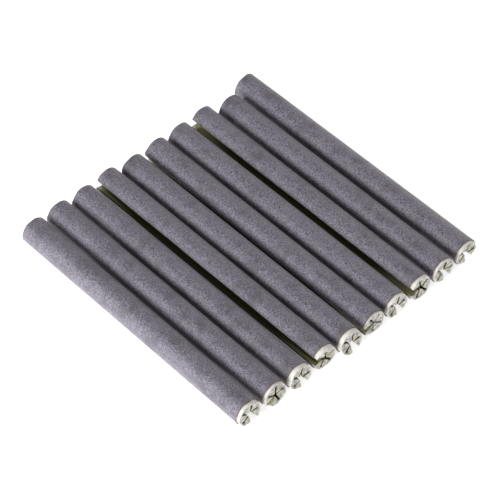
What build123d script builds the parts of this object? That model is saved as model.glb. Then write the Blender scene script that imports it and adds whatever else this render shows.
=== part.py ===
"""A row of ten blunt blending stumps: a slotted rod core in each, glued inside a grained wrap.

Millimetres. Each stump lies along Y with its slotted end towards -Y. The row runs along X and
rests on Z = 0, and the origin is at the centre of the space that it covers on the bench.
"""
import math
import os

from build123d import *

os.makedirs("parts", exist_ok=True)

# One stump
stick_diameter = 12.7
stick_length = 136.5
wrap_thickness = 0.4
glue_line = 0.1

# Section of the core: one open slot and closed slits meet at the centre, evenly spaced
arm_count = 5
slot_mouth = 3.8
slot_throat = 1.4
slit_width = 1.0
tip_bore = 1.4
ring_wall = 0.9
lip_radius = 0.25

# The wrap's two long edges stop this far short of the lips of the slot
wrap_setback = 0.2

# How each stump lies in the row, from the -X side to the +X side
slot_directions = (-69, -137, -70, 168, -70, -168, -69, 168, -70, -70)
core_standouts = (2.0, 2.1, 2.6, 1.5, 3.7, 0.8, 1.8, 1.9, 1.3, 0.7)
end_setbacks = (0.8, 0.4, -0.1, 1.1, -2.1, -0.2, -0.4, -0.4, -0.5, 0.3)
cut_errors = (-0.1, 0.5, 0.4, 0.1, 1.6, 0.2, 0.1, 0.8, -2.5, 1.7)
row_gaps = (1.3, 1.0, 1.7, 0.8, 1.4, 1.0, 1.5, 1.3, 1.5)

# Radii that follow from the sizes above
stick_radius = stick_diameter / 2
wrap_bore_radius = stick_radius - wrap_thickness
core_radius = wrap_bore_radius - glue_line
tip_radius = core_radius - ring_wall - tip_bore / 2

# The slot keeps its taper out to the wrap's surface, so its cut leaves nothing in the mouth
slot_taper = (slot_mouth - slot_throat) / core_radius
slot_width_at_wrap = slot_throat + slot_taper * stick_radius
wrap_gap = slot_mouth + 2 * wrap_setback

# The closed slits fill the turn that the open slot leaves
slit_count = arm_count - 1
arm_step = 360 / arm_count
slit_span = arm_step * (slit_count - 1)

# Axis of each stump across the row, and its two ends along Y, about the middle of the row
stick_count = len(slot_directions)
row_width = stick_count * stick_diameter + sum(row_gaps)
stick_lengths = [stick_length + error for error in cut_errors]
far_ends = [setback + length for setback, length in zip(end_setbacks, stick_lengths)]
row_middle_y = (min(end_setbacks) + max(far_ends)) / 2
axis_places = [
    stick_radius + index * stick_diameter + sum(row_gaps[:index]) - row_width / 2
    for index in range(stick_count)
]


def end_plane(index):
    """Plane at a stump's slotted end: normal along +Y, local X out through the open slot."""
    turn = math.radians(slot_directions[index])
    return Plane(
        origin=(axis_places[index], end_setbacks[index] - row_middle_y, stick_radius),
        x_dir=(math.cos(turn), 0, math.sin(turn)),
        z_dir=(0, 1, 0),
    )


for index in range(stick_count):
    number = f"{index + 1:02d}"
    core_plane = end_plane(index)
    wrap_plane = core_plane.offset(core_standouts[index])

    # Extruded rod, open along its whole length at the slot
    with BuildPart() as core:
        with BuildSketch(core_plane) as core_section:
            Circle(core_radius)
            with PolarLocations(0, slit_count, arm_step, slit_span, endpoint=True):
                Rectangle(tip_radius, slit_width, align=(Align.MIN, Align.CENTER), mode=Mode.SUBTRACT)
            with PolarLocations(tip_radius, slit_count, arm_step, slit_span, endpoint=True):
                Circle(tip_bore / 2, mode=Mode.SUBTRACT)
            Polygon(
                (0, -slot_throat / 2),
                (stick_radius, -slot_width_at_wrap / 2),
                (stick_radius, slot_width_at_wrap / 2),
                (0, slot_throat / 2),
                align=None,
                mode=Mode.SUBTRACT,
            )
            fillet(core_section.vertices().group_by(Axis.X)[-1], lip_radius)
        extrude(amount=stick_lengths[index])
    core.part.label = f"core_{number}"
    export_step(core.part, f"parts/core_{number}.step")

    # Grained sheet glued round the core, open over the slot and short of the slotted end
    with BuildPart() as wrap:
        with BuildSketch(wrap_plane):
            Circle(stick_radius)
            Circle(wrap_bore_radius, mode=Mode.SUBTRACT)
            Rectangle(stick_diameter, wrap_gap, align=(Align.MIN, Align.CENTER), mode=Mode.SUBTRACT)
        extrude(amount=stick_lengths[index] - core_standouts[index])
    wrap.part.label = f"wrap_{number}"
    export_step(wrap.part, f"parts/wrap_{number}.step")
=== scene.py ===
import math

import bmesh
import bpy
from mathutils import Matrix, Vector, noise
from mathutils.geometry import intersect_line_line


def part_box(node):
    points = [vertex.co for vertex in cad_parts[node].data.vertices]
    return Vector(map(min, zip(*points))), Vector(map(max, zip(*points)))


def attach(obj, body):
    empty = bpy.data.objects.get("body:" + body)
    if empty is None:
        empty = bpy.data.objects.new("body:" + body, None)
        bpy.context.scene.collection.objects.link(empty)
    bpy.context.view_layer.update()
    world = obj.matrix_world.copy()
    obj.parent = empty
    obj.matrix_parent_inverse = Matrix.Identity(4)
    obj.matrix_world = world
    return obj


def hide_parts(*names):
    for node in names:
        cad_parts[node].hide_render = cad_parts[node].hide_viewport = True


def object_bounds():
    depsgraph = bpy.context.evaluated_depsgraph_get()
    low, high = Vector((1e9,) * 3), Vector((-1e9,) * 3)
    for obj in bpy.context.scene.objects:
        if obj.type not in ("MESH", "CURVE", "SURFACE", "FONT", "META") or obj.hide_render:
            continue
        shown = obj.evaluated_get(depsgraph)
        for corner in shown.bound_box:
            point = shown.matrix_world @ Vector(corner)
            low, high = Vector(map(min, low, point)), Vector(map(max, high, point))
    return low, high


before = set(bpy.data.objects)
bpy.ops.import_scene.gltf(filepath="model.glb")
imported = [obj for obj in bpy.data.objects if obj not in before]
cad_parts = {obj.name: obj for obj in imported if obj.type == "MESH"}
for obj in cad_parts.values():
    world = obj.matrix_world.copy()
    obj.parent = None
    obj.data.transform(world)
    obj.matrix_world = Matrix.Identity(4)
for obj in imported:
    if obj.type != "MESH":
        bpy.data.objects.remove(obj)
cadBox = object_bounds()

mm = 0.001
alongStick = Vector((0, 1, 0))
stickNames = [f"{number:02d}" for number in range(1, 11)]

# each kind of unevenness adds its own number to the stump's, so no two run alike
seeds = {"slitX": 0, "slitZ": 40, "cutWave": 80, "cutChip": 90,
         "wrapEnd": 200, "wrapEdge": 230, "wrapSwell": 260}
seedStride = (17.3, 5.1, 9.7)  # how far one step of a seed moves the noise


def blendStep(low, high, value):  # 0 below low, 1 above high, smooth between
    part = min(max((value - low) / (high - low), 0), 1)
    return part * part * (3 - 2 * part)


def drift(place, scale, seed):  # soft noise from -1 to 1 that is the same each run
    return noise.noise(Vector(place) * scale + Vector([seed * stride for stride in seedStride]))


def newPiece(bm, name, materials, body, node):
    mesh = bpy.data.meshes.new(name)
    bm.to_mesh(mesh)
    bm.free()
    piece = bpy.data.objects.new(name, mesh)
    bpy.context.scene.collection.objects.link(piece)
    for material in materials:
        mesh.materials.append(material)
    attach(piece, body)
    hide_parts(node)


class Value:  # an expression on values adds its Math nodes
    def __init__(self, look, socket):
        self.look = look
        self.socket = socket

    def output(self, name):  # another output of the same node
        return Value(self.look, self.socket.node.outputs[name])

    def __add__(self, other):
        return self.look.maths("ADD", self, other)

    def __radd__(self, other):
        return self.look.maths("ADD", other, self)

    def __sub__(self, other):
        return self.look.maths("SUBTRACT", self, other)

    def __rsub__(self, other):
        return self.look.maths("SUBTRACT", other, self)

    def __mul__(self, other):
        return self.look.maths("MULTIPLY", self, other)

    def __rmul__(self, other):
        return self.look.maths("MULTIPLY", other, self)

    def __abs__(self):
        return self.look.maths("ABSOLUTE", self, 0)


class Finish:
    def __init__(self, name, fixed):
        self.material = bpy.data.materials.new(name)
        self.material.use_nodes = True
        self.tree = self.material.node_tree
        self.shader = self.tree.nodes["Principled BSDF"]
        for socket, value in fixed.items():
            self.shader.inputs[socket].default_value = value
        place = self.add("ShaderNodeTexCoord", output="Object")
        self.place = self.add(  # in mm
            "ShaderNodeVectorMath", {"operation": "SCALE"}, {0: place, "Scale": 1 / mm})

    def add(self, kind, settings=None, sockets=None, output=0):
        node = self.tree.nodes.new(kind)
        for name, value in (settings or {}).items():
            setattr(node, name, value)
        for name, value in (sockets or {}).items():
            self.plug(node.inputs[name], value)
        return Value(self, node.outputs[output])

    def plug(self, socket, value):
        if isinstance(value, Value):
            self.tree.links.new(value.socket, socket)
        else:
            socket.default_value = value

    def feed(self, name, value):
        self.plug(self.shader.inputs[name], value)

    def maths(self, operation, first, second):
        return self.add("ShaderNodeMath", {"operation": operation}, {0: first, 1: second})

    def grain(self, size, detail, roughness, stretch=None):  # size of a speck in mm
        place = self.place
        if stretch:
            place = self.add(
                "ShaderNodeVectorMath", {"operation": "MULTIPLY"}, {0: place, 1: stretch})
        sockets = {"Vector": place, "Scale": 1 / size, "Detail": detail, "Roughness": roughness}
        return self.add("ShaderNodeTexNoise", None, sockets)

    def spread(self, value, low, high):  # stretches low..high over 0..1
        return self.add("ShaderNodeMapRange", {"interpolation_type": "SMOOTHSTEP"},
                        {"Value": value, "From Min": low, "From Max": high})

    def mark(self, name):  # a number that the piece's mesh carries
        return self.add("ShaderNodeAttribute", {"attribute_name": name}, None, "Fac")

    def mix(self, factor, first, second):  # 6, 7 and output 2 are the node's colours
        return self.add("ShaderNodeMix", {"data_type": "RGBA"},
                        {"Factor": factor, 6: first, 7: second}, 2)

    def bump(self, height, depth, strength):
        normal = self.add("ShaderNodeBump", None,
                          {"Height": height, "Distance": depth, "Strength": strength})
        self.feed("Normal", normal)


wrapLook = {
    "dark": (0.04, 0.035, 0.046, 1), "light": (0.285, 0.26, 0.33, 1),
    "blotch": (0.062, 0.055, 0.07, 1), "bloom": (0.25, 0.228, 0.275, 1),
    "edge": (0.16, 0.12, 0.09, 1),
    "speckSize": 0.31, "pebbleSize": 0.9, "bloomSize": 3.6, "blotchSize": 8.0,
    "speckTone": 0.76, "pebbleTone": 0.24, "toneRange": (0.41, 0.6),
    "bloomRange": (0.5, 0.72), "bloomStrength": 0.3,
    "blotchRange": (0.5, 0.7), "blotchStrength": 0.55, "edgeStrength": 0.6,
    "roughness": 0.4, "lightRoughness": 0.12,  # the second is added where the grain is light
    "gloss": 0.5, "sheen": 0.4, "sheenRoughness": 0.5,
    "speckHeight": 0.65, "pebbleHeight": 0.35, "grainDepth": 0.26 * mm, "grainStrength": 0.8,
}


def makeWrapFinish():
    look = Finish("grainedWrap", {
        "Specular IOR Level": wrapLook["gloss"], "Sheen Weight": wrapLook["sheen"],
        "Sheen Roughness": wrapLook["sheenRoughness"]})
    speck = look.grain(wrapLook["speckSize"], detail=1, roughness=0.5)
    pebble = look.grain(wrapLook["pebbleSize"], detail=2, roughness=0.55)
    bloom = look.grain(wrapLook["bloomSize"], detail=2, roughness=0.5)
    blotch = look.grain(wrapLook["blotchSize"], detail=3, roughness=0.55)
    grain = speck * wrapLook["speckTone"] + pebble * wrapLook["pebbleTone"]
    tone = look.spread(grain, *wrapLook["toneRange"])
    colour = look.mix(tone, wrapLook["dark"], wrapLook["light"])
    bloomShare = look.spread(bloom, *wrapLook["bloomRange"]) * wrapLook["bloomStrength"]
    colour = look.mix(bloomShare, colour, wrapLook["bloom"])
    blotchShare = look.spread(blotch, *wrapLook["blotchRange"]) * wrapLook["blotchStrength"]
    colour = look.mix(blotchShare, colour, wrapLook["blotch"])
    colour = look.mix(look.mark("rim") * wrapLook["edgeStrength"], colour, wrapLook["edge"])
    look.feed("Base Color", colour)
    look.feed("Roughness", wrapLook["roughness"] + wrapLook["lightRoughness"] * tone)
    height = speck * wrapLook["speckHeight"] + pebble * wrapLook["pebbleHeight"]
    look.bump(height, wrapLook["grainDepth"], wrapLook["grainStrength"])
    return look.material


backingLook = {
    "dark": (0.17, 0.12, 0.09, 1), "light": (0.34, 0.27, 0.21, 1),
    # painted shade: this near-black stands for the dark inside of the backing and its edges along
    # the slot
    "paintedShade": (0.04, 0.036, 0.022, 1),
    "fibreSize": 0.5, "fibreStretch": (1, 0.3, 1), "fibreDepth": 0.08 * mm, "fibreStrength": 0.6,
    "gloss": 0.25, "roughness": 0.85,
}


def makeBackingFinish():
    look = Finish("wrapBacking", {
        "Specular IOR Level": backingLook["gloss"], "Roughness": backingLook["roughness"]})
    fibre = look.grain(backingLook["fibreSize"], detail=3, roughness=0.6,
                       stretch=backingLook["fibreStretch"])
    fibres = look.mix(fibre, backingLook["dark"], backingLook["light"])
    # painted shade everywhere except within the rim at the slotted end, where the brown fibres
    # show
    look.feed("Base Color", look.mix(look.mark("rim"), backingLook["paintedShade"], fibres))
    look.bump(fibre, backingLook["fibreDepth"], backingLook["fibreStrength"])
    return look.material


coreLook = {
    "pale": (0.82, 0.8, 0.75, 1), "mottle": (0.25, 0.238, 0.18, 1),
    # painted shade: the two olive colours below darken the core where little light gets into the
    # slot and slits
    "dimShade": (0.5, 0.47, 0.26, 1), "deepShade": (0.13, 0.127, 0.045, 1),
    "glowReach": (0.001, 0.001, 0.0008), "glow": 0.15, "gloss": 0.45,
    "crumbSize": 0.5, "cloudSize": 1.5, "mottleRange": (0.4, 0.64),
    "dimShadeRange": (0.01, 0.12), "deepShadeRange": (0.5, 0.95),
    "roughness": 0.4, "crumbRoughness": 0.25,
    "crumbHeight": 0.6, "cloudHeight": 0.4, "grainDepth": 0.22 * mm, "grainStrength": 0.7,
}


def makeCoreFinish():
    look = Finish("slottedCore", {
        "Subsurface Weight": coreLook["glow"], "Subsurface Radius": coreLook["glowReach"],
        "Subsurface Scale": 1.0, "Specular IOR Level": coreLook["gloss"]})
    crumb = look.grain(coreLook["crumbSize"], detail=2, roughness=0.6)
    cloud = look.grain(coreLook["cloudSize"], detail=2, roughness=0.55)
    mottle = look.spread(cloud * 0.5 + crumb * 0.5, *coreLook["mottleRange"]) * look.mark("petal")
    colour = look.mix(mottle, coreLook["pale"], coreLook["mottle"])
    # painted shade: the depth mark darkens the colour to olive inside the slot and slits
    depth = look.mark("depth")
    colour = look.mix(look.spread(depth, *coreLook["dimShadeRange"]), colour, coreLook["dimShade"])
    colour = look.mix(look.spread(depth, *coreLook["deepShadeRange"]), colour, coreLook["deepShade"])
    look.feed("Base Color", colour)
    look.feed("Roughness", coreLook["roughness"] + coreLook["crumbRoughness"] * crumb)
    height = crumb * coreLook["crumbHeight"] + cloud * coreLook["cloudHeight"]
    look.bump(height, coreLook["grainDepth"], coreLook["grainStrength"])
    return look.material


# the side that each slot faces, in degrees from +X towards +Z
slotDirections = dict(zip(stickNames, (-69, -137, -70, 168, -70, -168, -69, 171, -70, -70)))
# how far the top of each slotted end leans back from its foot, in mm
nearSlants = dict(zip(stickNames, (0.6, 0.9, 0.8, -0.8, 1.7, 0.2, 0.2, 0.3, 0.3, -0.5)))


def stickSizes(name):  # in mm, from the boxes of the CAD nodes
    wrapLow, wrapHigh = (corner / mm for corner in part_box(f"wrap_{name}"))
    coreLow, coreHigh = (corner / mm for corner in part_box(f"core_{name}"))
    radius = wrapHigh.z / 2
    return {
        "name": name,
        "radius": radius,
        "coreRadius": radius - core["wrapAndGlue"],
        "axis": Vector((wrapHigh.x - radius, 0, radius)),
        "wrapNear": wrapLow.y,
        "wrapLength": coreHigh.y - wrapLow.y,
        "coreNear": coreLow.y,
        "coreLength": coreHigh.y - coreLow.y,
        "turn": math.radians(slotDirections[name]),
        "slant": nearSlants[name],
        "seed": int(name),
    }


def layInRow(bm, stick):  # built with the slot towards +X and the slotted end at Y = 0
    turn = Matrix.Rotation(-stick["turn"], 4, "Y")
    place = Matrix.Translation(stick["axis"])
    bmesh.ops.transform(bm, matrix=Matrix.Scale(mm, 4) @ place @ turn, verts=bm.verts)


class Pen:  # draws an outline in the XZ plane by extruding and spinning one vertex
    def __init__(self, bm, start):
        self.bm = bm
        self.tip = bm.verts.new(start)
        self.first = self.tip

    def line(self, end, steps):
        stride = (Vector(end) - self.tip.co) / steps
        for _ in range(steps):
            made = bmesh.ops.extrude_vert_indiv(self.bm, verts=[self.tip])
            self.tip = made["verts"][0]
            self.tip.co += stride

    def arc(self, centre, angle, steps):
        made = bmesh.ops.spin(self.bm, geom=[self.tip], cent=centre, axis=(0, -1, 0),
                              angle=angle, steps=steps)
        self.tip = made["geom_last"][0]

    def close(self):
        self.bm.edges.new((self.tip, self.first))


# lengths are in mm in this and the wrap's dictionary
core = {
    "wrapAndGlue": 0.5, "mouth": 3.8, "throat": 1.4, "slit": 1.0, "tipBore": 1.4, "ringWall": 0.9,
    "arms": 5,  # the slot and four closed slits
    "lipRound": 0.3, "petalRound": 0.35, "cornerSegments": 3, "rimRound": 0.2, "rimSegments": 2,
    "outlineSteps": 84, "wallSteps": 6, "neckSteps": 5, "boreSteps": 12, "lastStretch": 0.08,
    # the slits wander, and less so towards the outside
    "wobble": 0.4, "wobbleScale": 0.35, "wobbleFade": (0.72, 0.9),
    # cuts across the rod at these distances from both ends, and squares on the sawn faces
    "rings": (0.4, 0.9, 1.8, 3.2, 5, 8, 12, 18, 26, 36, 50), "gridStep": 0.5,
    # the sawn ends: a slow wave, small chips, and petals lower than the ring round them
    "cutReach": 3.5, "wave": 0.6, "waveScale": 0.22, "chip": 0.15, "chipScale": 0.7,
    "farRoughness": 0.3, "petalSink": 0.15, "sinkFade": 0.7,
    # painted shade: how the colour darkens away from a sawn end, along the slot and into the
    # slits, where less light comes in
    "slotMargin": 0.3, "skin": 0.1, "bareOutside": 4.0, "dimShadeReach": 1.6, "deepShadeReach": (3, 32),
    "litEdge": 0.1, "slitReach": (-0.4, 0.8), "slitShadeDelay": {"06": 2.5}, "ringCleanness": 0.8,
    # a face is part of an end, or flat on it, where it points along the stick by this much
    "endFacing": 0.9, "flatFacing": 0.999, "mergeDistance": 0.001, "cutDistance": 0.01,
}


def polar(radius, angle):
    return Vector((radius * math.cos(angle), 0, radius * math.sin(angle)))


def crossing(startA, alongA, startB, alongB):
    return intersect_line_line(startA, startA + alongA, startB, startB + alongB)[0]


def drawCoreOutline(bm, radius):
    step = math.tau / core["arms"]
    lip = math.asin(core["mouth"] / 2 / radius)
    bore = core["tipBore"] / 2
    half = core["slit"] / 2
    boreCentre = radius - core["ringWall"] - bore
    neck = boreCentre - math.sqrt(bore ** 2 - half ** 2)
    boreTurn = math.tau - 2 * math.asin(half / bore)
    upperLip, lowerLip = polar(radius, lip), polar(radius, -lip)
    upperRoot, lowerRoot = (Vector((0, 0, side * core["throat"] / 2)) for side in (1, -1))
    pen = Pen(bm, upperLip)
    pen.arc((0, 0, 0), math.tau - 2 * lip, core["outlineSteps"])
    lips = [pen.first, pen.tip]
    wallStart, wallAlong = lowerRoot, lowerLip - lowerRoot
    petals = []
    for arm in range(1, core["arms"]):
        along = polar(1, -arm * step)
        aside = polar(half, -arm * step + math.pi / 2)
        pen.line(crossing(wallStart, wallAlong, aside, along), core["wallSteps"])
        petals.append(pen.tip)
        pen.line(along * neck + aside, core["neckSteps"])
        pen.arc(along * boreCentre, -boreTurn, core["boreSteps"])
        wallStart, wallAlong = -aside, along
    corner = crossing(wallStart, wallAlong, upperRoot, upperLip - upperRoot)
    pen.line(corner, core["wallSteps"])
    petals.append(pen.tip)
    last = core["lastStretch"]
    pen.line(upperLip * (1 - last) + upperRoot * last, core["neckSteps"])
    pen.close()
    return lips, petals


def makeCoreSection(bm, stick):
    radius, seed = stick["coreRadius"], stick["seed"]
    lips, petals = drawCoreOutline(bm, radius)
    bmesh.ops.contextual_create(bm, geom=bm.edges[:])
    for corners, size in ((lips, core["lipRound"]), (petals, core["petalRound"])):
        bmesh.ops.bevel(bm, geom=corners, offset=size, segments=core["cornerSegments"],
                        profile=0.5, affect="VERTICES", material=-1)
    section = bm.faces[:][0]
    fadeLow, fadeHigh = (part * radius for part in core["wobbleFade"])
    for vert in bm.verts:
        across = Vector((drift(vert.co, core["wobbleScale"], seed + seeds["slitX"]), 0,
                         drift(vert.co, core["wobbleScale"], seed + seeds["slitZ"])))
        freedom = 1 - blendStep(fadeLow, fadeHigh, vert.co.length)
        vert.co += across * core["wobble"] * freedom
    return section


def extrudeCore(bm, section, length):
    made = bmesh.ops.extrude_face_region(bm, geom=[section], use_keep_orig=True)
    farVerts = [part for part in made["geom"] if isinstance(part, bmesh.types.BMVert)]
    bmesh.ops.translate(bm, vec=alongStick * length, verts=farVerts)
    bmesh.ops.recalc_face_normals(bm, faces=bm.faces[:])
    ends = [face for face in bm.faces if abs(face.normal.y) > core["endFacing"]]
    rims = list(dict.fromkeys(edge for face in ends for edge in face.edges))
    bmesh.ops.bevel(bm, geom=rims, offset=core["rimRound"], segments=core["rimSegments"],
                    profile=0.5, affect="EDGES", material=-1, clamp_overlap=True)
    bmesh.ops.remove_doubles(bm, verts=bm.verts[:], dist=core["mergeDistance"])


def cutCore(bm, radius, length):
    for cut in [*core["rings"], *(length - ring for ring in core["rings"])]:
        bmesh.ops.bisect_plane(bm, geom=bm.verts[:] + bm.edges[:] + bm.faces[:],
                               plane_co=alongStick * cut, plane_no=alongStick)
    for step in range(1, int(2 * radius / core["gridStep"])):
        aside = step * core["gridStep"] - radius
        for normal in (Vector((1, 0, 0)), Vector((0, 0, 1))):
            faces = [face for face in bm.faces if abs(face.normal.y) > core["flatFacing"]]
            parts = dict.fromkeys(part for face in faces for part in face.edges[:] + face.verts[:])
            bmesh.ops.bisect_plane(bm, geom=faces + list(parts), plane_co=normal * aside,
                                   plane_no=normal, dist=core["cutDistance"])


def markCore(bm, stick):
    depth = bm.verts.layers.float.new("depth")  # how much painted shade: 1 where no light comes in
    petal = bm.verts.layers.float.new("petal")  # 1 inside the ring
    radius, length = stick["coreRadius"], stick["coreLength"]
    ringInside = radius - core["ringWall"]
    # for the stumps listed here, painted shade in the slits starts further in from the end
    slitShadeShift = core["slitShadeDelay"].get(stick["name"], 0)
    slitLow, slitHigh = (slitShadeShift + reach for reach in core["slitReach"])
    for vert in bm.verts:
        away = math.hypot(vert.co.x, vert.co.z)
        fromEnd = min(vert.co.y, length - vert.co.y)
        slotWidth = core["throat"] + (core["mouth"] - core["throat"]) * vert.co.x / radius
        nearSlot = abs(vert.co.z) < slotWidth / 2 + core["slotMargin"]
        # painted shade on the outside of the ring and along the slot deepens with distance from
        # the end
        if away > ringInside or (vert.co.x > core["slotMargin"] and nearSlot):
            bare = core["bareOutside"] * blendStep(ringInside, radius - core["skin"], away)
            dimShade = blendStep(bare, bare + core["dimShadeReach"], fromEnd)
            vert[depth] = (dimShade + blendStep(*core["deepShadeReach"], fromEnd)) / 2
        elif fromEnd > core["litEdge"]:
            vert[depth] = blendStep(slitLow, slitHigh, fromEnd)
        inRing = blendStep(ringInside + core["skin"], radius, away)
        vert[petal] = 1 - core["ringCleanness"] * inRing


def roughenEnds(bm, stick):
    radius, length, seed = stick["coreRadius"], stick["coreLength"], stick["seed"]
    ringInside = radius - core["ringWall"]
    for vert in bm.verts:
        across = (vert.co.x, 0, vert.co.z)
        away = math.hypot(vert.co.x, vert.co.z)
        nearness = 1 - blendStep(0, core["cutReach"], min(vert.co.y, length - vert.co.y))
        ragged = drift(across, core["waveScale"], seed + seeds["cutWave"]) * core["wave"]
        ragged += drift(across, core["chipScale"], seed + seeds["cutChip"]) * core["chip"]
        inside = 1 - blendStep(ringInside - core["sinkFade"], ringInside, away)
        sunk = core["petalSink"] * inside
        rise = vert.co.x * math.sin(stick["turn"]) + vert.co.z * math.cos(stick["turn"])
        if vert.co.y < length / 2:
            leaning = stick["slant"] * (1 + rise / radius) / 2
            vert.co.y += nearness * (ragged + sunk + leaning)
        else:
            vert.co.y -= nearness * (ragged * core["farRoughness"] + sunk)


def makeCore(name, material):
    stick = stickSizes(name)
    bm = bmesh.new()
    section = makeCoreSection(bm, stick)
    extrudeCore(bm, section, stick["coreLength"])
    cutCore(bm, stick["coreRadius"], stick["coreLength"])
    markCore(bm, stick)
    roughenEnds(bm, stick)
    bmesh.ops.translate(bm, vec=alongStick * stick["coreNear"], verts=bm.verts)
    for face in bm.faces:
        face.smooth = True
    layInRow(bm, stick)
    newPiece(bm, f"slottedCore_{name}", [material], f"stick_{name}", f"core_{name}")


wrap = {
    "thickness": 0.4, "gap": 4.2, "turnSteps": 84, "middleSteps": 12,
    "stations": (0, 0.3, 0.7, 1.3, 2.3, 4, 7, 12),  # distances from each end
    # both ends wander, so do the two edges beside the slot, and the sheet swells a little
    "endWander": 0.36, "endReach": 2.5, "endScale": 0.25,
    "edgeWander": 0.24, "edgeReach": 2.0, "edgeScale": 0.12, "edgeApart": 3,
    "swell": 0.03, "swellScale": 0.12,
    "rimReach": 1.4, "edgeRound": 0.06, "roundSegments": 2, "sharpAngle": 50,
    "outsideFacing": 0.7,  # above this a face is on the grained side
}


def facing(face):  # 1 on the outside, -1 on the inside
    middle = face.calc_center_median()
    return face.normal.dot(Vector((middle.x, 0, middle.z)).normalized())


def rollWrap(bm, radius, length):  # an arc round the core, extruded from station to station
    openTurn = math.asin(wrap["gap"] / 2 / radius)
    pen = Pen(bm, polar(radius, openTurn))
    pen.arc((0, 0, 0), math.tau - 2 * openTurn, wrap["turnSteps"])
    near, count = wrap["stations"], wrap["middleSteps"]
    middle = [near[-1] + step * (length - 2 * near[-1]) / count for step in range(1, count)]
    stations = [*near, *middle, *(length - place for place in reversed(near))]
    row = bm.edges[:]
    for here, there in zip(stations, stations[1:]):
        made = bmesh.ops.extrude_edge_only(bm, edges=row)["geom"]
        row = [part for part in made if isinstance(part, bmesh.types.BMEdge)]
        moved = [part for part in made if isinstance(part, bmesh.types.BMVert)]
        bmesh.ops.translate(bm, vec=alongStick * (there - here), verts=moved)
    bmesh.ops.recalc_face_normals(bm, faces=bm.faces[:])
    firstFace = bm.faces[:][0]
    if facing(firstFace) < 0:
        bmesh.ops.reverse_faces(bm, faces=bm.faces[:])


def wanderWrap(bm, stick):
    radius, length, seed = stick["radius"], stick["wrapLength"], stick["seed"]
    rim = bm.verts.layers.float.new("rim")  # 1 at the end nearest the slotted end
    for vert in bm.verts:
        place = vert.co.copy()
        turn = math.atan2(place.z, place.x) % math.tau
        toSlot = min(turn, math.tau - turn) * radius - wrap["gap"] / 2
        endPull = 1 - blendStep(0, wrap["endReach"], min(place.y, length - place.y))
        slotPull = 1 - blendStep(0, wrap["edgeReach"], toSlot)
        vert[rim] = 1 - blendStep(0, wrap["rimReach"], place.y)
        endDrift = drift(place, wrap["endScale"], seed + seeds["wrapEnd"])
        vert.co.y += endPull * endDrift * wrap["endWander"]
        side = 1 if turn < math.pi else -1
        edgePlace = (0, place.y * wrap["edgeScale"], side * wrap["edgeApart"])
        edgeDrift = drift(edgePlace, 1, seed + seeds["wrapEdge"])
        turn += side * slotPull * edgeDrift * wrap["edgeWander"] / radius
        swellDrift = drift(place, wrap["swellScale"], seed + seeds["wrapSwell"])
        swollen = radius + swellDrift * wrap["swell"]
        vert.co = polar(swollen, turn) + alongStick * vert.co.y


def makeWrap(name, outside, backing):
    stick = stickSizes(name)
    bm = bmesh.new()
    rollWrap(bm, stick["radius"], stick["wrapLength"])
    wanderWrap(bm, stick)
    bmesh.ops.solidify(bm, geom=bm.faces[:], thickness=wrap["thickness"])
    for face in bm.faces:
        face.material_index = 0 if facing(face) > wrap["outsideFacing"] else 1
        face.smooth = True
    sharp = math.radians(wrap["sharpAngle"])
    rimEdges = [edge for edge in bm.edges if edge.calc_face_angle(0) > sharp]
    bmesh.ops.bevel(bm, geom=rimEdges, offset=wrap["edgeRound"], segments=wrap["roundSegments"],
                    profile=0.5, affect="EDGES", material=-1)
    bmesh.ops.translate(bm, vec=alongStick * stick["wrapNear"], verts=bm.verts)
    layInRow(bm, stick)
    newPiece(bm, f"grainedWrap_{name}", [outside, backing], f"stick_{name}",
             f"wrap_{name}")


studio = {
    "floorSize": 3.0, "floorColour": (0.86, 0.86, 0.86, 1), "floorRoughness": 0.9,
    "floorGloss": 0.1, "floorGlow": 0.7, "world": 0.17,
    # the floor glows less under the row, inset from its box by this much in X and in Y, in mm
    "glowInset": (13, 34), "glowSoftness": 11, "glowUnderRow": (0.2, 0.2, 0.2, 1),
    "lights": {
        "key": {"energy": 12.5, "size": 0.55, "place": (-1.165, -0.1, 0.3)},
        "sheen": {"energy": 6.5, "size": 0.36, "place": (-0.905, 0.571, 0.545)},
        "fill": {"energy": 7, "size": 0.9, "place": (1.04, 0.1, 0.6)},
    },
    "target": (-0.0031, -0.0035, 0.00635),
    "camera": {"azimuth": 43.29, "elevation": 49.19, "distance": 0.9809, "lens": 165.2},
}
white = (1, 1, 1, 1)


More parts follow.
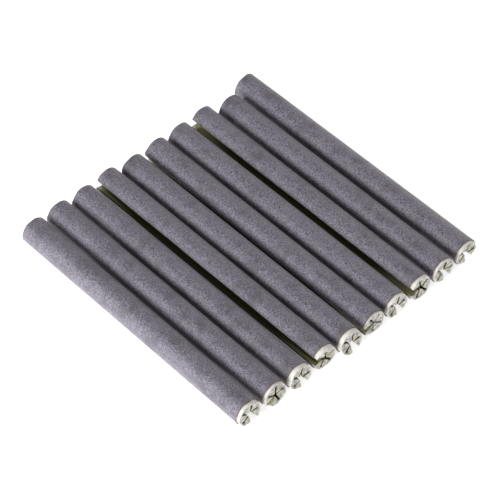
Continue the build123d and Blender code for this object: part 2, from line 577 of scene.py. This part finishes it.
def makeFloor():
    bm = bmesh.new()
    bmesh.ops.create_grid(bm, x_segments=2, y_segments=2, size=studio["floorSize"])
    mesh = bpy.data.meshes.new("floor")
    bm.to_mesh(mesh)
    bm.free()
    floor = bpy.data.objects.new("floor", mesh)
    bpy.context.scene.collection.objects.link(floor)
    look = Finish("paleFloor", {
        "Base Color": studio["floorColour"], "Roughness": studio["floorRoughness"],
        "Specular IOR Level": studio["floorGloss"], "Emission Strength": studio["floorGlow"]})
    place = look.add("ShaderNodeSeparateXYZ", None, {0: look.place})
    corner = cadBox[1] / mm
    insetX, insetY = studio["glowInset"]
    beyondX = abs(place) - (corner.x - insetX)
    beyondY = abs(place.output("Y")) - (corner.y - insetY)
    beyond = look.maths("MAXIMUM", beyondX, beyondY)
    glow = look.spread(beyond, 0, studio["glowSoftness"])
    look.feed("Emission Color", look.mix(glow, studio["glowUnderRow"], white))
    mesh.materials.append(look.material)


def makeLight(name, setup):
    data = bpy.data.lights.new(name, "AREA")
    data.shape = "DISK"
    data.size = setup["size"]
    data.energy = setup["energy"]
    light = bpy.data.objects.new(name, data)
    light.location = setup["place"]
    toTarget = Vector(studio["target"]) - light.location
    light.rotation_euler = toTarget.to_track_quat("-Z", "Y").to_euler()
    bpy.context.scene.collection.objects.link(light)


def makeWorld():
    world = bpy.data.worlds.new("studio")
    world.use_nodes = True
    background = world.node_tree.nodes["Background"]
    background.inputs["Color"].default_value = white
    background.inputs["Strength"].default_value = studio["world"]
    bpy.context.scene.world = world


def makeCamera():
    view = studio["camera"]
    data = bpy.data.cameras.new("camera")
    data.lens = view["lens"]
    camera = bpy.data.objects.new("camera", data)
    turn, tilt = math.radians(view["azimuth"]), math.radians(view["elevation"])
    level = math.cos(tilt)
    ahead = Vector((math.sin(turn) * level, math.cos(turn) * level, -math.sin(tilt)))
    camera.location = Vector(studio["target"]) - ahead * view["distance"]
    camera.rotation_euler = ahead.to_track_quat("-Z", "Y").to_euler()
    bpy.context.scene.collection.objects.link(camera)
    bpy.context.scene.camera = camera


print("camera, floor and lights")
makeCamera()
makeWorld()
makeFloor()
for name, setup in studio["lights"].items():
    makeLight(name, setup)
bpy.context.scene.view_settings.view_transform = "Standard"

print("finishes")
wrapFinish, backingFinish, coreFinish = makeWrapFinish(), makeBackingFinish(), makeCoreFinish()

for name in stickNames:
    print("stump", name)
    makeCore(name, coreFinish)
    makeWrap(name, wrapFinish, backingFinish)
